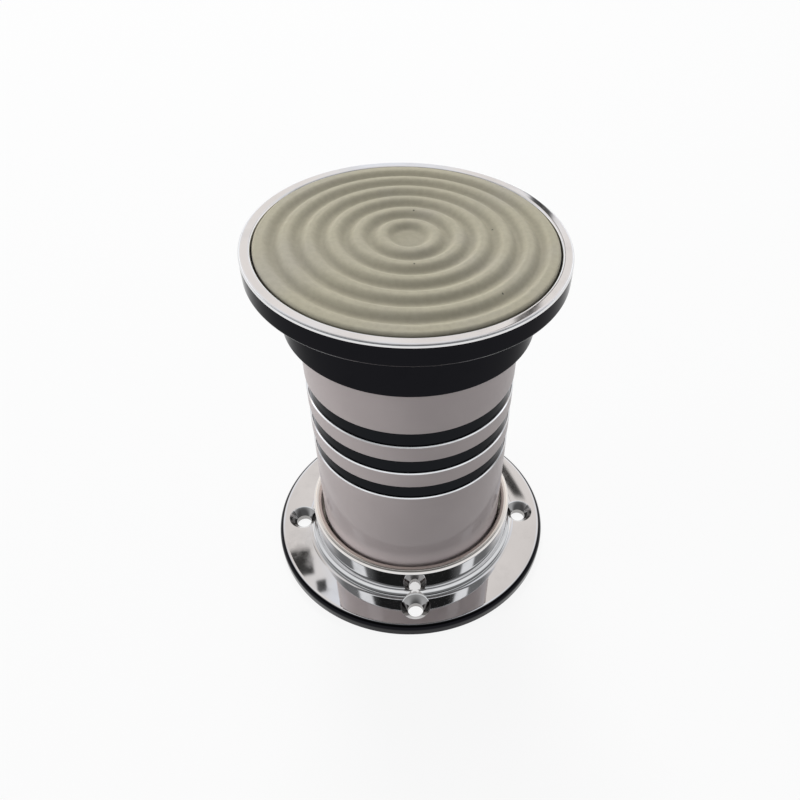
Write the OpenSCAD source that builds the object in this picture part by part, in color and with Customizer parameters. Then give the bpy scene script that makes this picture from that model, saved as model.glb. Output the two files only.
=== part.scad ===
// Deck bollard: a flanged base with a collar, a sleeved post with recessed bands,
// and an overhanging head that carries a ribbed rubber pad.
// The pieces stack on a core tube and one tie bolt clamps them together.
// Millimetres, +Z up, origin at the centre of the deck face.

/* [Post] */
// Outside diameter of the cream sleeves
post_d = 100; // [80:1:130]
// Wall of a sleeve
sleeve_wall = 5.3; // [3:0.1:8]
// Length of the sleeve that stands in the collar
lower_sleeve_l = 71; // [50:0.5:120]
// Length of each short sleeve between two bands
mid_sleeve_l = 9.3; // [6:0.1:20]
// Length of the sleeve that runs up into the head
upper_sleeve_l = 39; // [30:0.5:80]
// Round on the ends of a sleeve
sleeve_edge = 0.6; // [0.2:0.1:1.5]
// Height of a recessed band
band_h = 8.2; // [5:0.1:14]
// Depth of a band below the sleeves
band_recess = 1.1; // [0.5:0.1:2.5]
// Wall of the core tube that carries the load
tube_wall = 5; // [3:0.1:8]

/* [Base] */
// Thickness of the deck flange
base_t = 7; // [5:0.5:12]
// Round along the flange's top edge
base_edge = 3; // [1:0.1:4]
// Metal left outside the countersinks
flange_land = 5.6; // [4:0.1:15]
// Height of the floor that the post stands on
floor_t = 8; // [6:0.5:14]
// Height of the collar's lip
collar_h = 27.5; // [22:0.5:45]
// Wall of the collar
collar_wall = 4.8; // [3.4:0.1:7]
// Open gap between the collar and the post
collar_gap = 1.2; // [1:0.1:2.6]
// Fillet between the collar and the flange
collar_fillet = 4.5; // [2:0.1:7]

/* [Deck holes] */
// Number of deck screws
hole_count = 4; // [3:1:8]
// Hole for a deck screw
hole_d = 8.4; // [6:0.1:11]
// Mouth of the countersink
csk_d = 15.8; // [12:0.1:20]
// Gap between a countersink and the collar
csk_clear = 0.1; // [0.1:0.1:5]
// Width of the seal under the flange
deck_seal_w = 4; // [3:0.1:5]
// Height of the seal under the flange
deck_seal_h = 3; // [2:0.1:4]

/* [Head] */
// Wall of the neck around the post
neck_wall = 5.8; // [4.5:0.1:9]
// Gap between the neck and the post
neck_gap = 0.5; // [0.3:0.1:1]
// Length of the neck below the shoulder that the post meets
neck_drop = 13.8; // [10:0.1:25]
// Height of the neck above that shoulder
neck_rise = 11.6; // [8:0.1:20]
// Round on the neck's lower edge
neck_edge = 0.8; // [0.3:0.1:2]
// Fillet where the neck meets the rim
neck_fillet = 1.5; // [0.5:0.1:4]
// Reach of the rim beyond the neck
rim_overhang = 12.2; // [8:0.1:25]
// Height of the rim
rim_h = 10.5; // [8:0.1:16]
// Round on the rim's lower edge
rim_edge = 1.5; // [0.5:0.1:2.5]
// Width of the bright ring on top of the rim
ring_w = 5; // [3:0.1:9]
// Thickness of that ring where it covers the rim
ring_t = 1.4; // [1:0.1:2.5]
// Round on the ring's outer edge
ring_edge = 1.1; // [0.4:0.1:1.4]
// Wall of the ring's skirt inside the rim
ring_skirt = 1.5; // [1:0.1:2.5]

/* [Pad] */
// Depth of the recess that the pad lies in
pad_t = 6; // [4:0.1:8]
// Height of the pad's border above the rim
pad_proud = 0.6; // [0:0.1:2]
// Rise of the ribs from the border to the middle
pad_crown = 2.2; // [0:0.1:4]
// Gap between the pad and the bright ring
pad_gap = 0.5; // [0.3:0.1:1.2]
// Width of a rib
rib_w = 8.4; // [3:0.1:9]
// Height of a rib
rib_h = 2; // [0.6:0.1:2.5]
// Distance from one rib to the next
rib_pitch = 9.8; // [9.2:0.1:16]
// Radius of the innermost rib
rib_first_r = 10.9; // [6:0.1:20]
// Width of the flat border around the ribs
pad_land = 6; // [4:0.1:12]
// Round on the border's edges
pad_edge = 1.5; // [0.3:0.1:1.8]
// Number of pegs under the pad
peg_count = 4; // [3:1:8]
// Diameter of a peg
peg_d = 6; // [4:0.1:10]
// Length of a peg
peg_l = 7; // [4:0.1:12]
// Gap around a peg in its hole
peg_gap = 0.3; // [0.3:0.05:0.6]

/* [Tie bolt] */
// Diameter of the bolt
bolt_d = 16; // [12:1:20]
// Gap between the bolt and its holes
bolt_gap = 0.5; // [0.3:0.1:1]
// Gap between the bolt and the nut's thread
thread_gap = 0.1; // [0.05:0.05:0.2]
// Hexagon of the bolt head and the nut, across the flats
hex_af = 24; // [19:1:30]
// Height of the bolt head
bolt_head_h = 10; // [7:0.5:13]
// Height of the nut
nut_h = 13; // [10:0.5:16]
// Outside diameter of a plain washer
washer_d = 30; // [24:1:37]
// Thickness of a plain washer
washer_t = 3; // [2:0.1:4]
// Outside diameter of the split washer
split_d = 27; // [22:0.5:32]
// Thickness of the split washer
split_t = 3.5; // [2.5:0.1:5]
// Cut through the split washer
split_cut = 1.6; // [1:0.1:3]
// Length of bolt that shows below the nut
bolt_tail = 2.3; // [1:0.1:6]
// Height of the bolt's end above the deck
bolt_recess = 9.7; // [3:0.1:15]
// Room for a spanner around a washer
spanner_room = 5; // [3:0.5:7]
// Space between the bolt head and the pad
head_clear = 1.6; // [0.5:0.1:4]
// Thickness of metal that each end of the bolt bears on
web_t = 8; // [6:0.5:12]

/* [Seals and fits] */
// Thickness of the gaskets at the ends of the sleeves
gasket_t = 2; // [1:0.1:4]
// Cord of the round seals
cord_d = 3.3; // [2.8:0.1:4]
// Gap left around a seal in its groove
seal_gap = 0.05; // [0.02:0.01:0.1]
// Gap between pieces that slide together
fit_gap = 0.25; // [0.1:0.05:0.4]

/* [Hidden] */
$fn = 160;
// Overlap that lets a cut run past a face
cut = 1;
// Chamfer on the bolt's tip and on the spigots
tip_chamfer = 1;
// Least length of the head's spigot in the core tube
spigot_min = 5;
// Slope of a hexagon's corner chamfer
hex_slope = tan(30);

post_r = post_d / 2;
sleeve_bore_r = post_r - sleeve_wall;
band_r = post_r - band_recess;
tube_r = sleeve_bore_r - fit_gap;
tube_bore_r = tube_r - tube_wall;
spigot_r = tube_bore_r - fit_gap;

collar_bore_r = post_r + collar_gap;
collar_r = collar_bore_r + collar_wall;
lip_r = collar_wall / 2;
hole_circle_r = collar_r + csk_clear + csk_d / 2;
base_r = hole_circle_r + csk_d / 2 + flange_land;
deck_seal_r = (hole_circle_r + hole_d / 2 + base_r) / 2;
groove_r = post_r + cord_d + 2 * seal_gap;

lower_sleeve_z = floor_t + gasket_t;
lower_band_z = lower_sleeve_z + lower_sleeve_l;
band_pitch = band_h + mid_sleeve_l;
middle_band_z = lower_band_z + band_pitch;
upper_band_z = middle_band_z + band_pitch;
upper_sleeve_z = upper_band_z + band_h;
stack_top_z = upper_sleeve_z + upper_sleeve_l;
shoulder_z = stack_top_z + gasket_t;

neck_bore_r = post_r + neck_gap;
neck_r = neck_bore_r + neck_wall;
neck_z = shoulder_z - neck_drop;
rim_r = neck_r + rim_overhang;
rim_z = shoulder_z + neck_rise;
rim_top_z = rim_z + rim_h;
ring_z = rim_top_z - ring_t;
ring_bore_r = rim_r - ring_w;
ring_skirt_r = ring_bore_r + ring_skirt;
dish_r = ring_skirt_r + fit_gap;
dish_z = rim_top_z - pad_t;

bolt_r = bolt_d / 2;
bolt_hole_r = bolt_r + bolt_gap;
recess_r = washer_d / 2 + spanner_room;
nut_z = bolt_recess + bolt_tail;
base_washer_z = nut_z + nut_h;
nut_pocket = base_washer_z + washer_t;
base_spigot_z = nut_pocket + web_t;
well_z = dish_z - head_clear - bolt_head_h - split_t - washer_t;
split_z = well_z + washer_t;
bolt_seat_z = split_z + split_t;
head_spigot_z = min(well_z - web_t, shoulder_z - spigot_min);

pad_r = ring_bore_r - pad_gap;
land_r = pad_r - pad_land;
pad_top_z = rim_top_z + pad_proud;
rib_arc_r = (pow(rib_w / 2, 2) + pow(rib_h, 2)) / (2 * rib_h);
rib_count = floor((land_r - rib_w / 2 - rib_first_r) / rib_pitch) + 1;
peg_circle_r = (recess_r + neck_r) / 2;

CHROME = [0.80, 0.80, 0.82];
BLACK = [0.07, 0.07, 0.08];
CREAM = [0.70, 0.67, 0.64];
PAD_RUBBER = [0.66, 0.63, 0.53];
SEAL_RUBBER = [0.12, 0.12, 0.12];
STEEL = [0.56, 0.57, 0.58];

// Shared shapes

// Half section of a ring, drawn in the plane that is turned about Z
module section(r1, r2, z1, z2) {
    translate([r1, z1])
        square([r2 - r1, z2 - z1]);
}

// What a round of radius e takes off an outer corner; up is 1 for a top edge and -1 for a lower one
module outer_corner(r, z, e, up) {
    difference() {
        translate([r - e, min(z, z - up * e)])
            square(e);
        translate([r - e, z - up * e])
            circle(e);
    }
}

// The same for a corner on the inside of a ring
module inner_corner(r, z, e, up) {
    difference() {
        translate([r, min(z, z - up * e)])
            square(e);
        translate([r + e, z - up * e])
            circle(e);
    }
}

// Metal that a fillet of radius e adds in an inside corner, above the corner or below it
module fillet(r, z, e, up) {
    difference() {
        translate([r, min(z, z + up * e)])
            square(e);
        translate([r + e, z + up * e])
            circle(e);
    }
}

module ring(r1, r2, z1, z2) {
    rotate_extrude()
        section(r1, r2, z1, z2);
}

module bore(r, z1, z2) {
    translate([0, 0, z1])
        cylinder(r = r, h = z2 - z1);
}

// Copies of the children, evenly around a circle
module around(count, radius) {
    for (i = [0 : count - 1])
        rotate(360 * i / count)
            translate([radius, 0, 0])
                children();
}

// A sleeve of the post, with rounded ends
module sleeve(z, length) {
    color(CREAM)
        rotate_extrude()
            difference() {
                section(sleeve_bore_r, post_r, z, z + length);
                outer_corner(post_r, z + length, sleeve_edge, 1);
                outer_corner(post_r, z, sleeve_edge, -1);
            }
}

module band(z) {
    color(BLACK)
        ring(sleeve_bore_r, band_r, z, z + band_h);
}

module gasket(z) {
    color(SEAL_RUBBER)
        ring(sleeve_bore_r, post_r - fit_gap, z, z + gasket_t);
}

// A round seal that hugs the post
module post_seal(z) {
    color(SEAL_RUBBER)
        rotate_extrude()
            translate([post_r + seal_gap + cord_d / 2, z])
                circle(d = cord_d);
}

// Groove for a round seal, cut from the inside of a collar or neck
module seal_groove(z) {
    ring(post_r - cut, groove_r, z - cord_d / 2 - seal_gap, z + cord_d / 2 + seal_gap);
}

// A hexagon with its corners taken off at one end, or at both
module hex_prism(z, h, both_ends) {
    corner_r = hex_af / 2 / cos(30);
    face_r = hex_af / 2;
    drop = (corner_r - face_r) * hex_slope;
    intersection() {
        translate([0, 0, z])
            cylinder(r = corner_r, h = h, $fn = 6);
        rotate_extrude()
            polygon([
                [0, z],
                [both_ends ? face_r : corner_r, z],
                [corner_r, z + (both_ends ? drop : 0)],
                [corner_r, z + h - drop],
                [face_r, z + h],
                [0, z + h]
            ]);
    }
}

module washer(z) {
    color(STEEL)
        ring(bolt_hole_r, washer_d / 2, z, z + washer_t);
}

// Base

collar_seal_z = (lower_sleeve_z + collar_h) / 2;

module deck_hole() {
    csk_depth = (csk_d - hole_d) / 2;
    bore(hole_d / 2, -cut, base_t + cut);
    translate([0, 0, base_t - csk_depth])
        cylinder(d1 = hole_d, d2 = csk_d, h = csk_depth);
    bore(csk_d / 2, base_t, base_t + collar_fillet + cut);
}

module base_flange() {
    color(CHROME)
        difference() {
            rotate_extrude() {
                difference() {
                    section(0, base_r, 0, base_t);
                    outer_corner(base_r, base_t, base_edge, 1);
                }
                section(0, collar_r, 0, floor_t);
                section(collar_bore_r, collar_r, 0, collar_h - lip_r);
                translate([collar_bore_r + lip_r, collar_h - lip_r])
                    circle(lip_r);
                fillet(collar_r, base_t, collar_fillet, 1);
                polygon([
                    [0, 0], [spigot_r, 0],
                    [spigot_r, base_spigot_z - tip_chamfer],
                    [spigot_r - tip_chamfer, base_spigot_z],
                    [0, base_spigot_z]
                ]);
            }
            seal_groove(collar_seal_z);
            ring(deck_seal_r - deck_seal_w / 2 - seal_gap, deck_seal_r + deck_seal_w / 2 + seal_gap,
                -cut, deck_seal_h);
            bore(recess_r, -cut, nut_pocket);
            bore(bolt_hole_r, 0, base_spigot_z + cut);
            around(hole_count, hole_circle_r)
                deck_hole();
        }
}

module deck_seal() {
    color(SEAL_RUBBER)
        ring(deck_seal_r - deck_seal_w / 2, deck_seal_r + deck_seal_w / 2, 0, deck_seal_h);
}

module collar_seal() {
    post_seal(collar_seal_z);
}

// Post

module core_tube() {
    color(STEEL)
        ring(tube_bore_r, tube_r, floor_t, shoulder_z);
}

module seat_gasket() {
    gasket(floor_t);
}

module lower_sleeve() {
    sleeve(lower_sleeve_z, lower_sleeve_l);
}

module lower_band() {
    band(lower_band_z);
}

module lower_middle_sleeve() {
    sleeve(lower_band_z + band_h, mid_sleeve_l);
}

module middle_band() {
    band(middle_band_z);
}

module upper_middle_sleeve() {
    sleeve(middle_band_z + band_h, mid_sleeve_l);
}

module upper_band() {
    band(upper_band_z);
}

module upper_sleeve() {
    sleeve(upper_sleeve_z, upper_sleeve_l);
}

module stack_gasket() {
    gasket(stack_top_z);
}

// Head

neck_seal_z = (neck_z + stack_top_z) / 2;

module neck_seal() {
    post_seal(neck_seal_z);
}

module head_body() {
    color(BLACK)
        difference() {
            rotate_extrude() {
                difference() {
                    section(0, rim_r, rim_z, ring_z);
                    section(0, dish_r, dish_z, rim_top_z);
                    outer_corner(rim_r, rim_z, rim_edge, -1);
                }
                fillet(neck_r, rim_z, neck_fillet, -1);
                difference() {
                    section(neck_bore_r, neck_r, neck_z, rim_z);
                    outer_corner(neck_r, neck_z, neck_edge, -1);
                }
                section(0, neck_r, shoulder_z, rim_z);
                polygon([
                    [0, head_spigot_z],
                    [spigot_r - tip_chamfer, head_spigot_z],
                    [spigot_r, head_spigot_z + tip_chamfer],
                    [spigot_r, shoulder_z],
                    [0, shoulder_z]
                ]);
            }
            seal_groove(neck_seal_z);
            bore(recess_r, well_z, rim_top_z);
            bore(bolt_hole_r, head_spigot_z - cut, rim_top_z);
            around(peg_count, peg_circle_r)
                bore(peg_d / 2 + peg_gap, dish_z - peg_l - peg_gap, dish_z + cut);
        }
}

module rim_ring() {
    color(CHROME)
        rotate_extrude()
            difference() {
                union() {
                    section(ring_bore_r, rim_r, ring_z, rim_top_z);
                    section(ring_bore_r, ring_skirt_r, dish_z, rim_top_z);
                }
                outer_corner(rim_r, rim_top_z, ring_edge, 1);
                inner_corner(ring_bore_r, rim_top_z, ring_edge, 1);
            }
}

// Height of the crowned surface that the ribs' tops touch
function crown_z(r) = pad_top_z + pad_crown * (1 - pow(r / pad_r, 3));

module top_pad() {
    rib_radii = [for (i = [0 : rib_count - 1]) rib_first_r + i * rib_pitch];
    color(PAD_RUBBER) {
        rotate_extrude() {
            polygon([
                [0, dish_z],
                for (r = concat([0], rib_radii, [land_r + pad_edge]))
                    [r, crown_z(r) - rib_h],
                [land_r + pad_edge, dish_z]
            ]);
            difference() {
                section(land_r, pad_r, dish_z, pad_top_z);
                outer_corner(pad_r, pad_top_z, pad_edge, 1);
                inner_corner(land_r, pad_top_z, pad_edge, 1);
            }
            for (r = rib_radii)
                intersection() {
                    translate([r, crown_z(r) - rib_arc_r])
                        circle(rib_arc_r);
                    section(0, pad_r, dish_z, crown_z(0));
                }
        }
        around(peg_count, peg_circle_r)
            bore(peg_d / 2, dish_z - peg_l, dish_z + pad_t / 2);
    }
}

// Tie bolt

module tie_bolt() {
    color(STEEL) {
        hex_prism(bolt_seat_z, bolt_head_h, false);
        rotate_extrude()
            polygon([
                [0, bolt_recess],
                [bolt_r - tip_chamfer, bolt_recess],
                [bolt_r, bolt_recess + tip_chamfer],
                [bolt_r, bolt_seat_z + bolt_head_h / 2],
                [0, bolt_seat_z + bolt_head_h / 2]
            ]);
    }
}

module split_washer() {
    color(STEEL)
        difference() {
            ring(bolt_hole_r, split_d / 2, split_z, split_z + split_t);
            translate([0, -split_cut / 2, split_z - cut])
                cube([split_d, split_cut, split_t + 2 * cut]);
        }
}

module head_washer() {
    washer(well_z);
}

module base_washer() {
    washer(base_washer_z);
}

module base_nut() {
    color(STEEL)
        difference() {
            hex_prism(nut_z, nut_h, true);
            bore(bolt_r + thread_gap, nut_z - cut, nut_z + nut_h + cut);
        }
}

base_flange();
deck_seal();
core_tube();
seat_gasket();
lower_sleeve();
lower_band();
lower_middle_sleeve();
middle_band();
upper_middle_sleeve();
upper_band();
upper_sleeve();
stack_gasket();
collar_seal();
neck_seal();
head_body();
rim_ring();
top_pad();
tie_bolt();
split_washer();
head_washer();
base_washer();
base_nut();
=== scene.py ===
"""Looks of a deck bollard: a plated flange and head, enamelled sleeves and a ribbed rubber pad.

Sizes come from the frame and the property groups. The pieces stand on a pale studio floor."""

import math

import bpy
from bpy.props import FloatProperty, FloatVectorProperty, IntProperty, PointerProperty
from mathutils import Matrix, Vector


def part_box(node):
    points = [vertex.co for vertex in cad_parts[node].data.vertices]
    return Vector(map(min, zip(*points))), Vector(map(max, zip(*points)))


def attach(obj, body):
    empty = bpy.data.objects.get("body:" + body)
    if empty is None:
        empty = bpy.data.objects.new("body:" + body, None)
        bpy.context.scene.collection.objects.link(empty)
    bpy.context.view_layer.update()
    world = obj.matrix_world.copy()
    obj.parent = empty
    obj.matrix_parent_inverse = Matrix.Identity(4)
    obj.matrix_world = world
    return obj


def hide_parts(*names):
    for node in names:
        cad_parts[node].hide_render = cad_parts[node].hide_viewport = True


bl_info = {
    "name": "Deck Bollard",
    "version": (1, 0, 0),
    "blender": (4, 5, 0),
    "location": "View3D > Sidebar > Bollard",
    "description": "Builds the visible pieces, finishes and stage of a deck bollard",
    "category": "Object",
}

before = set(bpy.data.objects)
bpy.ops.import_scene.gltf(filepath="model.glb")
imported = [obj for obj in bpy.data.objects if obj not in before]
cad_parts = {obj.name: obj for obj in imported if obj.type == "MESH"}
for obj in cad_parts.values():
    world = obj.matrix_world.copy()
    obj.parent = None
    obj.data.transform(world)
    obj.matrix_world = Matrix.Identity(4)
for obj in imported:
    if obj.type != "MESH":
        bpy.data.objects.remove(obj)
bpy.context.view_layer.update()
MM = 0.001
DECK_HOLES = 4
PEGS = 4
HOLE_SIDES = 96
PEG_SIDES = 48
OVERCUT = 1 * MM
SMOOTH_ANGLE = math.radians(25)

SLEEVES = ("lower_sleeve", "lower_middle_sleeve", "upper_middle_sleeve", "upper_sleeve")
BANDS = ("lower_band", "middle_band", "upper_band")
SEALS = ("deck_seal", "seat_gasket", "stack_gasket")
POST_SEALS = ("collar_seal", "neck_seal")
STEEL_PIECES = ("core_tube", "tie_bolt", "split_washer", "head_washer", "base_washer", "base_nut")


# Sizes taken from the frame

def low(node):
    """Height of a node's lowest point."""
    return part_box(node)[0].z


def high(node):
    """Height of a node's highest point."""
    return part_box(node)[1].z


def reach(node):
    """Largest radius of a node."""
    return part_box(node)[1].x


POST_R = reach("lower_sleeve")
BASE_R = reach("base_flange")
RIM_R = reach("head_body")
PAD_R = reach("top_pad")
RIM_TOP = high("rim_ring")
DISH_Z = low("rim_ring")


def size(label, note, default):
    """A length that a user may change, in metres; the default is given in millimetres."""
    return FloatProperty(name=label, description=note, default=default * MM, min=0, precision=5,
                         unit="LENGTH", subtype="DISTANCE")


def tint(label, note, default):
    """A colour that a user may change."""
    return FloatVectorProperty(name=label, description=note, default=default, subtype="COLOR",
                               min=0, max=1)


class BollardSizes(bpy.types.PropertyGroup):
    """Sizes of the turned pieces that the frame's boxes don't give."""

    sides: IntProperty(name="Sides", description="Flat sides of a turned piece", default=288, min=32)
    arc_steps: IntProperty(name="Arc steps", description="Steps in a quarter round", default=10, min=3)
    flange_t: size("Flange", "Thickness of the deck flange", 7)
    flange_round: size("Flange round", "Round on the flange's top edge", 3)
    edge_break: size("Edge break", "Small round on machined edges", 0.4)
    floor_t: size("Floor", "Height of the floor that the post stands on", 8)
    collar_h: size("Collar height", "Height of the collar's lip", 27.5)
    # Height of painted light: the enamel is paler over the collar, standing in for light that the
    # collar throws on the post's foot.
    foot_light_h: size("Foot light", "Height over the collar to which the enamel is paler", 11)
    collar_bore_r: size("Collar bore", "Radius of the collar's bore", 51.2)
    collar_wall: size("Collar wall", "Wall of the collar", 4.8)
    collar_fillet: size("Collar fillet", "Fillet between collar and flange", 4.5)
    deck_groove_w: size("Deck groove", "Width of the groove for the deck seal", 4.1)
    hole_circle_r: size("Hole circle", "Radius of the circle of deck holes", 64)
    hole_r: size("Hole", "Radius of a deck hole", 4.2)
    csk_r: size("Countersink", "Radius of a countersink's mouth", 7.9)
    csk_break: size("Countersink edge", "Depth of the small break round a countersink's mouth", 0.25)
    spigot_r: size("Spigot", "Radius of the spigots inside the core tube", 39.2)
    recess_r: size("Recess", "Radius of the recesses for the nut and the bolt head", 20)
    bolt_hole_r: size("Bolt hole", "Radius of the tie bolt's holes", 8.5)
    post_bore_r: size("Sleeve bore", "Radius of the sleeves' bore", 44.7)
    sleeve_round: size("Sleeve round", "Round on the lower end of a sleeve", 0.6)
    bevel_w: size("Bevel width", "Width of the bright bevel on a sleeve's upper end", 0.58)
    bevel_h: size("Bevel height", "Height of the bright bevel on a sleeve's upper end", 0.36)
    seal_gap: size("Seal gap", "Clearance of a seal in its groove", 0.05)
    seal_groove_r: size("Seal groove", "Radius of the grooves for the round seals", 53.4)
    web_t: size("Web", "Thickness of the head under the bolt's washer", 8)
    spigot_chamfer: size("Spigot chamfer", "Chamfer on the head's spigot", 1)
    neck_bore_r: size("Neck bore", "Radius of the neck's bore", 50.5)
    neck_r: size("Neck", "Radius of the neck", 56.3)
    neck_round: size("Neck round", "Round on the neck's lower edge", 0.8)
    neck_drop: size("Neck drop", "Length of the neck below the shoulder", 13.8)
    neck_fillet: size("Neck fillet", "Fillet under the rim", 1.5)
    rim_h: size("Rim height", "Height of the rim with its ring", 10.5)
    rim_round: size("Rim round", "Round on the rim's lower edge", 1.5)
    rim_break: size("Rim break", "Small round on the rim under the bright ring", 0.2)
    ring_w: size("Ring width", "Width of the bright ring", 5)
    ring_t: size("Ring thickness", "Thickness of the bright ring", 1.4)
    ring_round: size("Ring round", "Round on the bright ring's edges", 1.1)
    ring_break: size("Ring break", "Small round on the bright ring's lower edge", 0.15)
    ring_skirt: size("Ring skirt", "Wall of the bright ring's skirt", 1.5)
    dish_gap: size("Dish gap", "Gap between the ring's skirt and the head", 0.25)
    rib_pitch: size("Rib pitch", "Distance between the pad's ribs", 9.8)
    rib_first_r: size("First rib", "Radius of the innermost rib", 10.9)
    rib_w: size("Rib width", "Width of a rib at half its height", 5.5)
    rib_slope: size("Rib slope", "Width of a rib's slope", 4.3)
    rib_h: size("Rib height", "Height of a rib", 2.2)
    pad_proud: size("Pad proud", "Height of the pad's border above the rim", 0.59)
    pad_crown: size("Pad crown", "Rise of the ribs from the border to the middle", 2.2)
    pad_land: size("Pad border", "Width of the pad's border", 6)
    pad_step: size("Pad step", "Distance between the loops of the pad's upper side", 0.5)
    pad_middle_r: size("Pad middle", "Radius of the flat in the middle of the pad", 1)
    pad_round: size("Pad round", "Round on the pad's edge", 1.5)
    peg_r: size("Peg", "Radius of a peg under the pad", 3)
    peg_tip: size("Peg tip", "Round on a peg's tip", 0.8)
    peg_root: size("Peg root", "Length of a peg inside the pad", 2)
    peg_gap: size("Peg gap", "Clearance of a peg in its hole", 0.3)
    peg_hole_r: size("Peg hole", "Radius of a peg's hole", 3.3)
    peg_circle_r: size("Peg circle", "Radius of the circle of pegs", 38.15)


class BollardColours(bpy.types.PropertyGroup):
    """Colours of the finishes."""

    chrome: tint("Chrome", "Bright plate", (0.80, 0.79, 0.79))
    # Painted reflection: a warm tint on the collar's lip, standing in for the cream post mirrored in
    # it.
    lip_cream_reflection: tint("Collar lip", "Bright plate of the collar's rubbed lip", (0.80, 0.70, 0.60))
    # Also painted on the flange's edge, as a painted dark reflection.
    black_plate: tint("Black plate", "Gloss black plate", (0.010, 0.010, 0.012))
    band: tint("Bands", "Dark plate of the bands", (0.011, 0.012, 0.014))
    # Dull metal that darkens the collar's corner and the countersinks: grime with painted shade.
    grime_and_shade: tint("Grime and shade", "Dull metal in corners and countersinks", (0.12, 0.11, 0.10))
    cream: tint("Cream", "Enamel of the sleeves", (0.364, 0.319, 0.314))
    pad: tint("Pad", "Rubber of the pad", (0.305, 0.284, 0.216))
    pad_grey: tint("Pad bloom", "Grey bloom on the rubber", (0.284, 0.266, 0.227))
    # Darkens the valleys between the ribs as dirt and painted shade; also the colour of the mottling
    # and specks.
    pad_dirt_and_shade: tint("Pad dirt and shade", "Dirt between the ribs", (0.142, 0.131, 0.100))
    pale_seal: tint("Post seal", "Grey rubber of the seals round the post", (0.30, 0.28, 0.24))
    seal: tint("Seals", "Black rubber of the seals", (0.018, 0.018, 0.018))
    steel: tint("Steel", "Plain steel", (0.52, 0.52, 0.53))


class BollardStage(bpy.types.PropertyGroup):
    """Camera and light."""

    camera_back: size("Camera distance", "Distance of the camera from the post's axis", 273.9)
    camera_up: size("Camera height", "Height of the camera above the deck", 349.8)
    camera_turn: FloatProperty(name="Turn", description="Turn of the camera about the post",
                               default=math.radians(-0.99), subtype="ANGLE")
    camera_yaw: FloatProperty(name="Yaw", description="Aim of the camera to the right of the axis",
                              default=math.radians(7.28), subtype="ANGLE")
    camera_pitch: FloatProperty(name="Pitch", description="Aim of the camera below the horizon",
                                default=math.radians(49.43), subtype="ANGLE")
    camera_roll: FloatProperty(name="Roll", description="Roll of the camera about its aim",
                               default=math.radians(-4.83), subtype="ANGLE")
    lens: FloatProperty(name="Lens", description="Focal length in millimetres", default=32.85)
    shift_x: FloatProperty(name="Shift X", description="Sideways shift of the frame", default=-0.0906)
    shift_y: FloatProperty(name="Shift Y", description="Upward shift of the frame", default=0.1140)
    key_power: FloatProperty(name="Key", description="Power of the key light in watts", default=66)
    top_power: FloatProperty(name="Top", description="Power of the top light in watts", default=14)
    fill_power: FloatProperty(name="Fill", description="Power of the fill light in watts", default=18.5)
    side_power: FloatProperty(name="Side", description="Power of the side light in watts", default=4)
    room: FloatProperty(name="Room", description="Strength of the light from all round", default=1.0)
    wall_tone: tint("Wall", "Colour of the light from behind", (1.0, 0.955, 0.925))
    cloud_tone: tint("Clouds", "Cooler colour of the light from behind", (0.91, 0.94, 1.0))
    side_tone: tint("Sides", "Colour of the light from the sides", (0.94, 0.97, 1.0))


# Finishes

class Wire:
    """One output of a shader node; arithmetic on it adds Math nodes to the same tree."""

    def __init__(self, nodes, socket):
        self.nodes = nodes
        self.socket = socket

    def out(self, name):
        """Another output of the same node."""
        return Wire(self.nodes, self.socket.node.outputs[name])

    def math(self, operation, first, second=0.0):
        """Adds a Math node."""
        return self.nodes.node("ShaderNodeMath", {"operation": operation}, {0: first, 1: second})

    def __add__(self, other):
        return self.math("ADD", self, other)

    __radd__ = __add__

    def __sub__(self, other):
        return self.math("SUBTRACT", self, other)

    def __rsub__(self, other):
        return self.math("SUBTRACT", other, self)

    def __mul__(self, other):
        return self.math("MULTIPLY", self, other)

    __rmul__ = __mul__

    def __truediv__(self, other):
        return self.math("DIVIDE", self, other)

    def __pow__(self, other):
        return self.math("POWER", self, other)

    def __abs__(self):
        return self.math("ABSOLUTE", self)

    def between(self, start, end):
        """Rises smoothly from 0 at start to 1 at end."""
        return self.nodes.node("ShaderNodeMapRange", {"interpolation_type": "SMOOTHSTEP"},
                               {"Value": self, "From Min": start, "From Max": end})

    def near(self, middle, full, none):
        """One within full of a value, falling to 0 at none away from it."""
        return 1.0 - abs(self - middle).between(full, none)


class Nodes:
    """Adds nodes to a shader tree."""

    def __init__(self, tree):
        self.tree = tree

    def node(self, kind, settings, inputs, out=0):
        """Adds a node: its settings first, then the values or links of its sockets."""
        made = self.tree.nodes.new(kind)
        for key, value in settings.items():
            setattr(made, key, value)
        self.feed(made, inputs)
        return Wire(self, made.outputs[out])

    def feed(self, made, inputs):
        """Links or sets a node's sockets."""
        for key, value in inputs.items():
            if isinstance(value, Wire):
                self.tree.links.new(value.socket, made.inputs[key])
            else:
                made.inputs[key].default_value = value

    def split(self, vector):
        """The X, Y and Z of a vector."""
        x = self.node("ShaderNodeSeparateXYZ", {}, {0: vector})
        return x, x.out("Y"), x.out("Z")

    def mix(self, factor, first, second):
        """Mixes two colours."""
        def colour(value):
            return value if isinstance(value, Wire) else (*value, 1.0)
        return self.node("ShaderNodeMix", {"data_type": "RGBA"},
                         {0: factor, 6: colour(first), 7: colour(second)}, out=2)


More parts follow.
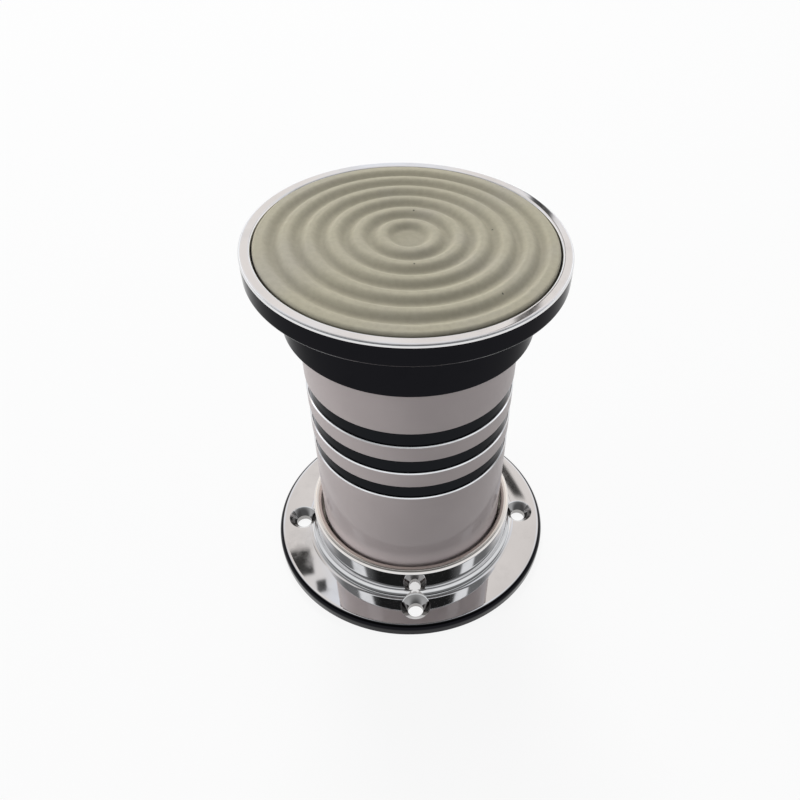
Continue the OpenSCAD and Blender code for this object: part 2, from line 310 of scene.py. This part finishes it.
class Finish(Nodes):
    """A material under construction, with its Principled shader ready."""

    def __init__(self, name):
        self.material = bpy.data.materials.new(name)
        self.material.use_nodes = True
        super().__init__(self.material.node_tree)
        self.shader = self.tree.nodes["Principled BSDF"]
        self.place = self.node("ShaderNodeTexCoord", {}, {}, out="Object")
        self.x, self.y, self.height = self.split(self.place)
        self.radius = (self.x * self.x + self.y * self.y) ** 0.5
        self.angle = self.x.math("ARCTAN2", self.y, self.x)

    def noise(self, scale, detail=3.0, vector=None):
        """Noise with about scale features per metre, centred on one half."""
        return self.node("ShaderNodeTexNoise", {"noise_dimensions": "3D"},
                         {"Vector": vector or self.place, "Scale": scale, "Detail": detail,
                          "Roughness": 0.55})

    def turned_marks(self, rings, turns):
        """Fine marks that run round the axis, as a polishing wheel leaves them."""
        vector = self.node("ShaderNodeCombineXYZ", {}, {
            0: self.radius * rings, 1: self.angle * turns, 2: self.height * rings})
        return self.noise(1.0, detail=4.0, vector=vector)

    def specks(self, scale, speck, share=1.0, spread="3D"):
        """Small dots, one at most in each cell, in a share of the cells."""
        cell = self.node("ShaderNodeTexVoronoi", {"feature": "F1", "voronoi_dimensions": spread},
                         {"Vector": self.place, "Scale": scale, "Randomness": 1.0})
        dot = 1.0 - cell.between(speck * 0.6, speck)
        chance = self.split(cell.out("Color"))[0]
        return dot * (1.0 - chance.between(share, share + 0.02))

    def bump(self, height, distance, under=None):
        """A normal raised by a height, over another bump where one is given."""
        inputs = {"Height": height, "Distance": distance}
        if under is not None:
            inputs["Normal"] = under
        return self.node("ShaderNodeBump", {}, inputs)

    def set(self, **inputs):
        """Sets the shader's sockets; an underscore in a name stands for a space."""
        self.feed(self.shader, {key.replace("_", " "): value for key, value in inputs.items()})
        return self.material


def dim(colour, factor):
    """A colour made darker, or paler where the factor is above one."""
    return [min(1.0, c * factor) for c in colour]


def plate(name, colour, roughness, cover=None, rim=1.0):
    """Mirror plate on a cast and polished surface, with smudges, pits and fine polishing marks.

    cover lays other colours over the plate's own. rim is its brightness where it is seen edge on."""
    finish = Finish(name)
    smudge = finish.noise(70.0, detail=4.0).between(0.45, 0.75)
    marks = finish.turned_marks(2600.0, 3.0)
    swell = finish.noise(24.0, detail=1.0)
    pits = finish.specks(420.0, 0.06, share=0.3)
    shade = finish.mix(smudge * 0.25 + pits * 0.5, colour, dim(colour, 0.72))
    return finish.set(
        Base_Color=cover(finish, shade) if cover else shade,
        Metallic=1.0,
        Specular_Tint=(rim, rim, rim, 1.0),
        Roughness=roughness + smudge * 0.05 + marks * 0.02,
        Normal=finish.bump(marks, 0.0002 * MM, under=finish.bump(swell, 0.02 * MM)),
    )


def chrome_finish(colours):
    """Bright plate of the ring and of the sleeves' bevels."""
    return plate("chrome_plate", colours.chrome, 0.05)


def base_finish(colours, sizes):
    """Chrome plate with a painted dark reflection on its edge, grime and painted shade in the collar's
    corner and the countersinks, and a painted reflection of the cream post on the lip.
    """
    collar_r = sizes.collar_bore_r + sizes.collar_wall

    def cover(finish, bright):
        # Grime and painted shade in the corner between the collar's fillet and the flange.
        patch = finish.noise(55.0, detail=2.0) * (4 * MM)
        corner = (finish.radius + patch).near(collar_r + 3 * MM, 0.0, 4 * MM)
        low_down = 1.0 - finish.height.between(sizes.flange_t, sizes.flange_t + 3 * MM)
        grime_and_shade = corner * low_down * 0.30
        painted_light = finish.mix(grime_and_shade, bright, colours.grime_and_shade)
        along = finish.x.math("MAXIMUM", abs(finish.x), abs(finish.y)) - sizes.hole_circle_r
        aside = finish.x.math("MINIMUM", abs(finish.x), abs(finish.y))
        from_hole = (along * along + aside * aside) ** 0.5
        # Painted shade, with grime, inside the countersinks.
        inside = 1.0 - from_hole.between(sizes.csk_r - 0.4 * MM, sizes.csk_r)
        drilled = finish.mix(inside * 0.65, painted_light, colours.grime_and_shade)
        # Painted reflection: the flange's edge is black, as chrome mirroring a dark floor would look.
        face = (BASE_R - finish.radius).between(sizes.flange_round * 0.60, sizes.flange_round * 0.78)
        # Painted reflection: a warm tint on the lip, as the cream post mirrored in it.
        lip = finish.height.between(sizes.collar_h - sizes.collar_wall * 0.5, sizes.collar_h)
        lip_reflected = finish.mix(lip * 0.6, drilled, colours.lip_cream_reflection)
        return finish.mix(face, colours.black_plate, lip_reflected)

    return plate("base_chrome", colours.chrome, 0.02, cover)


def black_finish(colours, sizes):
    """Black plate, with a painted highlight: a line of bright plate along the rim's lower edge."""
    rim_z = RIM_TOP - sizes.rim_h

    def cover(finish, black):
        # Painted highlight: bright plate along the rim's lower round, broken up by a noise patch.
        painted_light = finish.height.near(rim_z + sizes.rim_round * 0.35, 0.1 * MM, 0.4 * MM)
        outside = finish.radius.between(RIM_R - sizes.rim_round, RIM_R - sizes.rim_round * 0.5)
        patch = finish.noise(14.0, detail=1.0).between(0.42, 0.60)
        return finish.mix(painted_light * outside * (0.85 - 0.6 * patch), black, colours.chrome)

    return plate("black_plate", colours.black_plate, 0.09, cover, rim=0.6)


def band_finish(colours):
    """Dark plate of the bands."""
    return plate("dark_chrome", colours.band, 0.07, rim=0.6)


def enamel_finish(colours, sizes):
    """Gloss enamel over metal: faint clouding, orange peel, rubbed marks, dust and painted light that
    makes the foot paler over the collar.
    """
    finish = Finish("cream_enamel")
    cloud = finish.noise(22.0, detail=2.0)
    peel = finish.noise(900.0, detail=1.0)
    rub = finish.turned_marks(500.0, 2.5).between(0.58, 0.76)
    dust = finish.specks(260.0, 0.05, share=0.35)
    tone = finish.mix(cloud.between(0.3, 0.7), dim(colours.cream, 0.96), dim(colours.cream, 1.04))
    # Painted light: the enamel is paler just over the collar, standing in for light that the collar
    # throws back.
    foot_light = 1.0 - finish.height.between(sizes.collar_h, sizes.collar_h + sizes.foot_light_h)
    pale = finish.mix(foot_light * (0.55 + 0.45 * cloud), tone, dim(colours.cream, 1.55))
    marked = finish.mix(rub * 0.03 + dust * 0.25, pale, dim(colours.cream, 0.6))
    return finish.set(
        Base_Color=marked,
        Roughness=0.20 + rub * 0.08 + cloud * 0.05,
        Specular_IOR_Level=0.0,
        Coat_Weight=0.45,
        Coat_Roughness=0.05,
        Normal=finish.bump(peel, 0.004 * MM, under=finish.bump(cloud, 0.03 * MM)),
    )


def pad_finish(colours, sizes):
    """Matte moulded rubber: pale rubbed ribs, valleys darkened by dirt and painted shade, grey bloom
    and a few dark specks.
    """
    finish = Finish("pad_rubber")
    share = finish.radius / PAD_R
    crown = RIM_TOP + sizes.pad_proud + (1.0 - share ** 3.0) * sizes.pad_crown
    top = (finish.height - crown).between(-sizes.rib_h, 0.0)
    cloud = finish.noise(34.0, detail=4.0)
    mottle = finish.noise(420.0, detail=3.0)
    grain = finish.noise(2600.0, detail=2.0)
    bloom = finish.noise(16.0, detail=3.0).between(0.45, 0.70)
    streak = finish.turned_marks(260.0, 2.0).between(0.48, 0.78)
    specks = finish.specks(60.0, 0.028, share=0.16, spread="2D")
    clean = finish.mix(bloom * 0.7, colours.pad, colours.pad_grey)
    # Dirt and painted shade: darker in the valleys between the ribs.
    valley_dirt_and_shade = finish.mix((1.0 - top) * (0.10 + 0.22 * cloud), clean, colours.pad_dirt_and_shade)
    scuffed = finish.mix(top * streak * 0.16, valley_dirt_and_shade, dim(colours.pad, 1.25))
    spotted = finish.mix(mottle.between(0.35, 0.68) * 0.14, scuffed, colours.pad_dirt_and_shade)
    return finish.set(
        Base_Color=finish.mix(specks * 0.8, spotted, dim(colours.pad_dirt_and_shade, 0.3)),
        Roughness=0.70 + grain * 0.18,
        Specular_IOR_Level=0.30,
        Normal=finish.bump(grain, 0.02 * MM, under=finish.bump(cloud, 0.08 * MM)),
    )


def seal_finish(name, colour):
    """Seal rubber with a dusty bloom."""
    finish = Finish(name)
    bloom = finish.noise(120.0, detail=3.0).between(0.45, 0.75)
    grain = finish.noise(3000.0, detail=1.0)
    return finish.set(
        Base_Color=finish.mix(bloom * 0.4, colour, dim(colour, 1.5)),
        Roughness=0.62 + bloom * 0.2,
        Normal=finish.bump(grain, 0.02 * MM),
    )


def steel_finish(colours):
    """Plain turned steel with tool marks and a little discolouring."""
    finish = Finish("plain_steel")
    marks = finish.turned_marks(3200.0, 2.0)
    stain = finish.noise(90.0, detail=4.0).between(0.5, 0.75)
    return finish.set(
        Base_Color=finish.mix(stain * 0.5, colours.steel, dim(colours.steel, 0.55)),
        Metallic=1.0,
        Roughness=0.26 + marks * 0.16 + stain * 0.12,
        Normal=finish.bump(marks, 0.006 * MM),
    )


# Modelling helpers

def arc(centre_r, centre_z, radius, start, end, steps):
    """Points of a round, from one angle to another in degrees, counted from outwards towards up."""
    angles = [math.radians(start + (end - start) * i / steps) for i in range(steps + 1)]
    return [(centre_r + radius * math.cos(a), centre_z + radius * math.sin(a)) for a in angles]


def held(outline):
    """Adds a loop close to each end of every long straight stretch, to keep its shading flat."""
    hold = 0.35 * MM
    points = []
    for (r1, z1), (r2, z2) in zip(outline, outline[1:] + outline[:1]):
        points.append((r1, z1))
        length = math.hypot(r2 - r1, z2 - z1)
        if length > 4 * hold:
            part = hold / length
            points.append((r1 + (r2 - r1) * part, z1 + (z2 - z1) * part))
            points.append((r2 - (r2 - r1) * part, z2 - (z2 - z1) * part))
    return points


def turn(name, outline, sides, capped=False):
    """Turns an outline of (radius, height) points about Z, one extruded loop of edges at a time.

    The outline closes on itself, or with capped its first and last loops are filled."""
    r, z = outline[0]
    bpy.ops.object.select_all(action="DESELECT")
    bpy.ops.mesh.primitive_circle_add(vertices=sides, radius=r, location=(0, 0, z))
    bpy.ops.object.transform_apply(location=True, rotation=True, scale=True)
    piece = bpy.context.object
    piece.name = name
    piece.data.name = name
    bpy.ops.object.mode_set(mode="EDIT")
    bpy.ops.mesh.select_all(action="SELECT")
    if capped:
        bpy.ops.mesh.edge_face_add()
    for next_r, next_z in outline[1:] + ([] if capped else outline[:1]):
        bpy.ops.mesh.extrude_region_move(TRANSFORM_OT_translate={"value": (0, 0, next_z - z)})
        scale = next_r / r
        bpy.ops.transform.resize(value=(scale, scale, 1), center_override=(0, 0, next_z))
        r, z = next_r, next_z
    bpy.ops.mesh.select_all(action="SELECT")
    bpy.ops.mesh.remove_doubles(threshold=0.001 * MM)
    bpy.ops.mesh.normals_make_consistent(inside=False)
    bpy.ops.object.mode_set(mode="OBJECT")
    return piece


def pick(*pieces):
    """Selects these pieces alone and makes the first of them active."""
    bpy.ops.object.select_all(action="DESELECT")
    for piece in pieces:
        piece.select_set(True)
    bpy.context.view_layer.objects.active = pieces[0]


def shift(piece, offset):
    """Moves a piece's mesh and leaves its object at the origin."""
    pick(piece)
    bpy.ops.object.mode_set(mode="EDIT")
    bpy.ops.mesh.select_all(action="SELECT")
    bpy.ops.transform.translate(value=offset)
    bpy.ops.object.mode_set(mode="OBJECT")


def spots(count, radius):
    """Places evenly round a circle, the first on +X."""
    angles = [2 * math.pi * i / count for i in range(count)]
    return [(radius * math.cos(a), radius * math.sin(a), 0) for a in angles]


def spread(piece, places):
    """Copies a piece, each copy with its own mesh, and moves the piece and its copies to the places."""
    pieces = [piece]
    while len(pieces) < len(places):
        pick(piece)
        bpy.ops.object.duplicate(linked=False)
        pieces.append(bpy.context.object)
    for each, place in zip(pieces, places):
        shift(each, place)
    return pieces


def cut_holes(piece, outline, places, sides):
    """Cuts the shape turned from an outline out of a piece at each place."""
    for cutter in spread(turn("cutter", outline, sides, capped=True), places):
        pick(piece)
        bpy.ops.object.modifier_add(type="BOOLEAN")
        modifier = piece.modifiers[-1]
        modifier.operation = "DIFFERENCE"
        modifier.solver = "EXACT"
        modifier.object = cutter
        bpy.ops.object.modifier_apply(modifier=modifier.name)
        bpy.data.objects.remove(cutter)


def dress(piece, material, body, node):
    """Gives a piece its finish and smooth shading, and puts it in the place of a CAD node."""
    pick(piece)
    bpy.ops.object.shade_smooth_by_angle(angle=SMOOTH_ANGLE)
    piece.data.materials.clear()
    piece.data.materials.append(material)
    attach(piece, body)
    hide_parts(node)


def paint(node, material):
    """Gives a CAD node that stays a better finish."""
    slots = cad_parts[node].data.materials
    slots.clear()
    slots.append(material)


def seal_groove(seal, radius, mouth_r, gap):
    """Outline of a square groove in a bore, going down, with a gap over and under its seal."""
    top = high(seal) + gap
    bottom = low(seal) - gap
    return [(mouth_r, top), (radius, top), (radius, bottom), (mouth_r, bottom)]


# Operators

class BOLLARD_OT_base(bpy.types.Operator):
    """Turns the deck flange with its collar and drills its countersunk holes"""

    bl_idname = "bollard.base"
    bl_label = "Base flange"

    def execute(self, context):
        s = context.scene.bollard_sizes
        steps = s.arc_steps
        brk = s.edge_break
        edge = s.flange_round
        fillet = s.collar_fillet
        collar_r = s.collar_bore_r + s.collar_wall
        lip = s.collar_wall / 2
        pocket = high("base_washer")
        spigot_top = high("base_flange")
        seal_out = reach("deck_seal") + s.seal_gap
        seal_in = seal_out - s.deck_groove_w
        outline = [
            (s.recess_r, 0), (seal_in, 0), (seal_in, high("deck_seal")),
            (seal_out, high("deck_seal")), (seal_out, 0),
            *arc(BASE_R - brk, brk, brk, -90, 0, 4),
            *arc(BASE_R - edge, s.flange_t - edge, edge, 0, 90, steps * 2),
            *arc(collar_r + fillet, s.flange_t + fillet, fillet, 270, 180, steps * 2),
            *arc(s.collar_bore_r + lip, s.collar_h - lip, lip, 0, 180, steps * 3),
            *seal_groove("collar_seal", s.seal_groove_r, s.collar_bore_r, s.seal_gap),
            (s.collar_bore_r, s.floor_t), (s.spigot_r, s.floor_t), (s.spigot_r, spigot_top),
            (s.bolt_hole_r, spigot_top), (s.bolt_hole_r, pocket), (s.recess_r, pocket),
        ]
        piece = turn("base", held(outline), s.sides)
        cone_top = s.flange_t - s.csk_break
        mouth_r = s.csk_r + s.csk_break * 0.6
        cutter = [
            (s.hole_r, -OVERCUT),
            (s.hole_r, cone_top - (s.csk_r - s.hole_r)),
            (s.csk_r, cone_top),
            (mouth_r, s.flange_t),
            (mouth_r, s.flange_t + fillet + OVERCUT),
        ]
        cut_holes(piece, cutter, spots(DECK_HOLES, s.hole_circle_r), HOLE_SIDES)
        material = base_finish(context.scene.bollard_colours, s)
        dress(piece, material, "bollard", "base_flange")
        return {"FINISHED"}


class BOLLARD_OT_sleeves(bpy.types.Operator):
    """Turns the enamelled sleeves of the post"""

    bl_idname = "bollard.sleeves"
    bl_label = "Sleeves"

    def execute(self, context):
        s = context.scene.bollard_sizes
        enamel = enamel_finish(context.scene.bollard_colours, s)
        bright = chrome_finish(context.scene.bollard_colours)
        e = s.sleeve_round
        for node in SLEEVES:
            outline = [
                (s.post_bore_r, low(node)),
                *arc(POST_R - e, low(node) + e, e, -90, 0, s.arc_steps),
                (POST_R, high(node) - s.bevel_h), (POST_R - s.bevel_w, high(node)),
                (s.post_bore_r, high(node)),
            ]
            piece = turn(node + "_skin", held(outline), s.sides)
            dress(piece, enamel, "bollard", node)
            piece.data.materials.append(bright)
            edge_z = high(node) - s.bevel_h
            for face in piece.data.polygons:
                if face.center.z > edge_z:
                    face.material_index = 1
        return {"FINISHED"}


class BOLLARD_OT_bands(bpy.types.Operator):
    """Turns the recessed bands between the sleeves"""

    bl_idname = "bollard.bands"
    bl_label = "Bands"

    def execute(self, context):
        s = context.scene.bollard_sizes
        material = band_finish(context.scene.bollard_colours)
        first = BANDS[0]
        outline = [
            (s.post_bore_r, low(first)), (reach(first), low(first)),
            (reach(first), high(first)), (s.post_bore_r, high(first)),
        ]
        band = turn("band", held(outline), s.sides)
        rises = [(0, 0, low(node) - low(first)) for node in BANDS]
        for node, piece in zip(BANDS, spread(band, rises)):
            piece.name = piece.data.name = node + "_skin"
            dress(piece, material, "bollard", node)
        return {"FINISHED"}


class BOLLARD_OT_head(bpy.types.Operator):
    """Turns the black head with its neck, rim and bolt well, and drills the holes for the pad's pegs"""

    bl_idname = "bollard.head"
    bl_label = "Head"

    def execute(self, context):
        s = context.scene.bollard_sizes
        steps = s.arc_steps
        rim_z = RIM_TOP - s.rim_h
        ring_z = RIM_TOP - s.ring_t
        shoulder_z = high("core_tube")
        neck_z = shoulder_z - s.neck_drop
        dish_r = RIM_R - s.ring_w + s.ring_skirt + s.dish_gap
        foot_z = low("head_washer") - s.web_t
        brk = s.rim_break
        outline = [
            (s.bolt_hole_r, foot_z), (s.spigot_r - s.spigot_chamfer, foot_z),
            (s.spigot_r, foot_z + s.spigot_chamfer), (s.spigot_r, shoulder_z),
            (s.neck_bore_r, shoulder_z),
            *seal_groove("neck_seal", s.seal_groove_r, s.neck_bore_r, s.seal_gap),
            (s.neck_bore_r, neck_z),
            *arc(s.neck_r - s.neck_round, neck_z + s.neck_round, s.neck_round, -90, 0, steps),
            *arc(s.neck_r + s.neck_fillet, rim_z - s.neck_fillet, s.neck_fillet, 180, 90, steps),
            *arc(RIM_R - s.rim_round, rim_z + s.rim_round, s.rim_round, -90, 0, steps),
            *arc(RIM_R - brk, ring_z - brk, brk, 0, 90, 3),
            (dish_r, ring_z), (dish_r, DISH_Z), (s.recess_r, DISH_Z),
            (s.recess_r, low("head_washer")), (s.bolt_hole_r, low("head_washer")),
        ]
        piece = turn("head", held(outline), s.sides)
        peg_hole = [(s.peg_hole_r, low("top_pad") - s.peg_gap), (s.peg_hole_r, DISH_Z + OVERCUT)]
        cut_holes(piece, peg_hole, spots(PEGS, s.peg_circle_r), PEG_SIDES)
        material = black_finish(context.scene.bollard_colours, s)
        dress(piece, material, "bollard", "head_body")
        return {"FINISHED"}


class BOLLARD_OT_ring(bpy.types.Operator):
    """Turns the bright ring on top of the rim"""

    bl_idname = "bollard.ring"
    bl_label = "Rim ring"

    def execute(self, context):
        s = context.scene.bollard_sizes
        steps = s.arc_steps
        e = s.ring_round
        brk = s.ring_break
        bore_r = RIM_R - s.ring_w
        ring_z = RIM_TOP - s.ring_t
        outline = [
            (bore_r, DISH_Z), (bore_r + s.ring_skirt, DISH_Z), (bore_r + s.ring_skirt, ring_z),
            *arc(RIM_R - brk, ring_z + brk, brk, -90, 0, 3),
            *arc(RIM_R - e, RIM_TOP - e, e, 0, 90, steps),
            *arc(bore_r + e, RIM_TOP - e, e, 90, 180, steps),
        ]
        piece = turn("ring", held(outline), s.sides)
        material = chrome_finish(context.scene.bollard_colours)
        dress(piece, material, "bollard", "rim_ring")
        return {"FINISHED"}


class BOLLARD_OT_pad(bpy.types.Operator):
    """Turns the ribbed rubber pad and sets its pegs"""

    bl_idname = "bollard.pad"
    bl_label = "Pad"

    def top(self, s, r):
        """Height of the pad's upper side at a radius: ribs and a border on a crowned disc."""
        def rise(inside):
            return 0.5 + 0.5 * math.sin(math.pi * max(-0.5, min(0.5, inside / s.rib_slope)))
        land_r = PAD_R - s.pad_land
        last = int((land_r - s.rib_first_r - s.rib_w) / s.rib_pitch)
        rib = max(0, min(last, round((r - s.rib_first_r) / s.rib_pitch)))
        off_rib = abs(r - s.rib_first_r - rib * s.rib_pitch)
        relief = max(rise(s.rib_w / 2 - off_rib), rise(r - land_r))
        crown = RIM_TOP + s.pad_proud + s.pad_crown * (1 - (r / PAD_R) ** 3)
        return crown - s.rib_h * (1 - relief)

    def execute(self, context):
        s = context.scene.bollard_sizes
        e = s.pad_round
        brk = s.edge_break
        tip = s.peg_tip
        edge_r = PAD_R - e
        loops = round((edge_r - s.pad_middle_r) / s.pad_step)
        radii = [edge_r - s.pad_step * (i + 1) for i in range(loops)]
        outline = [
            *arc(PAD_R - brk, DISH_Z + brk, brk, -90, 0, 4),
            *arc(edge_r, self.top(s, edge_r) - e, e, 0, 90, s.arc_steps),
            *[(r, self.top(s, r)) for r in radii],
        ]
        piece = turn("pad", outline, s.sides, capped=True)
        peg_outline = [
            *arc(s.peg_r - tip, low("top_pad") + tip, tip, -90, 0, 6),
            (s.peg_r, DISH_Z + s.peg_root),
        ]
        peg = turn("peg", peg_outline, PEG_SIDES, capped=True)
        pegs = spread(peg, spots(PEGS, s.peg_circle_r))
        pick(piece, *pegs)
        bpy.ops.object.join()
        material = pad_finish(context.scene.bollard_colours, s)
        dress(piece, material, "pad", "top_pad")
        return {"FINISHED"}


class BOLLARD_OT_inner(bpy.types.Operator):
    """Finishes the bolt, tube, washers, nut and seals"""

    bl_idname = "bollard.inner"
    bl_label = "Inner pieces"

    def execute(self, context):
        colours = context.scene.bollard_colours
        steel = steel_finish(colours)
        rubber = seal_finish("seal_rubber", colours.seal)
        pale_rubber = seal_finish("post_seal_rubber", colours.pale_seal)
        for material, nodes in ((steel, STEEL_PIECES), (rubber, SEALS), (pale_rubber, POST_SEALS)):
            for node in nodes:
                paint(node, material)
        return {"FINISHED"}


class BOLLARD_OT_stage(bpy.types.Operator):
    """Sets the floor, the lights and the camera"""

    bl_idname = "bollard.stage"
    bl_label = "Stage"

    def floor(self):
        """A pale floor that keeps the shadow and shows near white to the camera and in reflections."""
        bpy.ops.object.select_all(action="DESELECT")
        bpy.ops.mesh.primitive_plane_add(size=12, location=(0, 0, -0.2 * MM))
        plane = bpy.context.object
        plane.name = "floor"
        finish = Finish("studio_floor")
        finish.set(Base_Color=(0.48, 0.48, 0.48, 1.0), Roughness=0.9, Specular_IOR_Level=0.1)
        path = finish.node("ShaderNodeLightPath", {}, {}, out="Is Camera Ray")
        seen = path + path.out("Is Glossy Ray") + path.out("Is Transmission Ray")
        glow = finish.node("ShaderNodeEmission", {}, {"Color": (1, 1, 1, 1), "Strength": 1.0})
        matte = Wire(finish, finish.shader.outputs["BSDF"])
        blend = finish.node("ShaderNodeMixShader", {}, {0: seen * 0.9, 1: matte, 2: glow})
        finish.feed(finish.tree.nodes["Material Output"], {"Surface": blend})
        plane.data.materials.append(finish.material)

    def room(self, t):
        """Soft light from all round, with the dark shapes that the plate mirrors.

        It is bright low down and behind the bollard, grey high up elsewhere, with a dark card over the
        camera, a bright halo, and a stand, a streak, a panel and a knob in front of the wall behind."""
        world = bpy.data.worlds.new("studio")
        bpy.context.scene.world = world
        world.use_nodes = True
        room = Nodes(world.node_tree)
        toward = room.node("ShaderNodeTexCoord", {}, {}, out="Generated")
        across, away, up = room.split(toward)
        cloud = room.node("ShaderNodeTexNoise", {}, {"Vector": toward, "Scale": 7.0, "Detail": 2.0})
        level = (across * across + away * away + 0.0001) ** 0.5
        behind = (away / level).between(0.1, 0.75)
        high_up = up.between(0.30, 0.45)
        wall = 0.95 - 0.12 * up.between(0.60, 0.80) + 0.50 * (cloud - 0.5) * high_up
        sides = 0.95 - 0.75 * up.between(0.30, 0.52)
        halo = 0.85 * (up + away * 0.52).near(0.725, 0.03, 0.05)
        card = (0.0 - away / level).between(0.40, 0.75) * up.near(0.828, 0.040, 0.065)
        slope = across / (abs(away) + 0.0001)
        facing = away.between(0.0, 0.05)
        stand = slope.near(0.212, 0.014, 0.022) * up.near(0.53, 0.14, 0.17)
        streak = (slope - up * 2.0).near(-1.271, 0.009, 0.016) * up.near(0.742, 0.014, 0.022)
        panel = slope.near(-0.241, 0.022, 0.027) * up.near(0.810, 0.009, 0.012)
        knob = slope.near(-0.205, 0.010, 0.014) * up.near(0.8305, 0.0035, 0.0055)
        dark = 1.0 - 0.95 * (stand + streak + panel + knob) * facing
        strength = (sides + (wall - sides) * behind) * (1.0 - 0.92 * card) * dark + halo
        clouded = room.mix(cloud.between(0.42, 0.60), t.wall_tone, t.cloud_tone)
        tone = room.mix(behind * high_up, t.side_tone, clouded)
        room.feed(world.node_tree.nodes["Background"], {"Color": tone, "Strength": strength * t.room})

    def lamp(self, name, place, target, width, tall, power):
        """A soft oval lamp that doesn't show in polished pieces."""
        bpy.ops.object.light_add(type="AREA", location=place)
        light = bpy.context.object
        light.name = name
        light.data.shape = "ELLIPSE"
        light.data.size = width
        light.data.size_y = tall
        light.data.energy = power
        light.visible_glossy = False
        light.rotation_mode = "QUATERNION"
        light.rotation_quaternion = (Vector(target) - Vector(place)).to_track_quat("-Z", "Y")

    def camera(self, t):
        """A camera at the photograph's angle, from its distance, height, turn, yaw, pitch and roll."""
        heading = t.camera_yaw - t.camera_turn
        aim = Vector((math.sin(heading) * math.cos(t.camera_pitch),
                      math.cos(heading) * math.cos(t.camera_pitch), -math.sin(t.camera_pitch)))
        right = aim.cross(Vector((0, 0, 1))).normalized()
        down = aim.cross(right)
        level = right * math.cos(t.camera_roll) + down * math.sin(t.camera_roll)
        up = right * math.sin(t.camera_roll) - down * math.cos(t.camera_roll)
        place = Vector((math.sin(t.camera_turn), -math.cos(t.camera_turn), 0)) * t.camera_back
        place.z = t.camera_up
        bpy.ops.object.camera_add(location=place)
        camera = bpy.context.object
        axes = Matrix((level, up, -aim)).transposed()
        camera.rotation_mode = "QUATERNION"
        camera.rotation_quaternion = axes.to_quaternion()
        camera.data.sensor_width = 36
        camera.data.lens = t.lens
        camera.data.shift_x = t.shift_x
        camera.data.shift_y = t.shift_y
        camera.data.clip_start = 0.01
        bpy.context.scene.camera = camera

    def execute(self, context):
        t = context.scene.bollard_stage
        self.floor()
        self.room(t)
        middle = (0, 0, RIM_TOP / 2)
        self.lamp("key", (-0.27, 2.20, 2.21), middle, 1.0, 0.5, t.key_power)
        self.lamp("top", (-0.10, 0.82, 1.95), middle, 0.7, 0.7, t.top_power)
        self.lamp("fill", (-1.90, -0.35, 0.60), middle, 1.0, 1.0, t.fill_power)
        self.lamp("side", (1.95, -0.10, 0.50), middle, 0.9, 0.9, t.side_power)
        self.camera(t)
        context.scene.view_settings.view_transform = "Standard"
        return {"FINISHED"}


class BOLLARD_PT_panel(bpy.types.Panel):
    """The bollard's pieces and stage, in the order that they are made"""

    bl_idname = "BOLLARD_PT_panel"
    bl_label = "Deck bollard"
    bl_space_type = "VIEW_3D"
    bl_region_type = "UI"
    bl_category = "Bollard"

    def draw(self, context):
        for operator in OPERATORS:
            self.layout.operator(operator.bl_idname)


OPERATORS = (BOLLARD_OT_base, BOLLARD_OT_sleeves, BOLLARD_OT_bands, BOLLARD_OT_head, BOLLARD_OT_ring,
             BOLLARD_OT_pad, BOLLARD_OT_inner, BOLLARD_OT_stage)
GROUPS = (("bollard_sizes", BollardSizes), ("bollard_colours", BollardColours),
          ("bollard_stage", BollardStage))


def register():
    for _, group in GROUPS:
        bpy.utils.register_class(group)
    for name, group in GROUPS:
        setattr(bpy.types.Scene, name, PointerProperty(type=group))
    for operator in OPERATORS:
        bpy.utils.register_class(operator)
    bpy.utils.register_class(BOLLARD_PT_panel)


def unregister():
    bpy.utils.unregister_class(BOLLARD_PT_panel)
    for operator in reversed(OPERATORS):
        bpy.utils.unregister_class(operator)
    for name, group in reversed(GROUPS):
        delattr(bpy.types.Scene, name)
        bpy.utils.unregister_class(group)


def main():
    register()
    bpy.ops.bollard.base()
    bpy.ops.bollard.sleeves()
    bpy.ops.bollard.bands()
    bpy.ops.bollard.head()
    bpy.ops.bollard.ring()
    bpy.ops.bollard.pad()
    bpy.ops.bollard.inner()
    bpy.ops.bollard.stage()


if __name__ == "__main__":
    main()
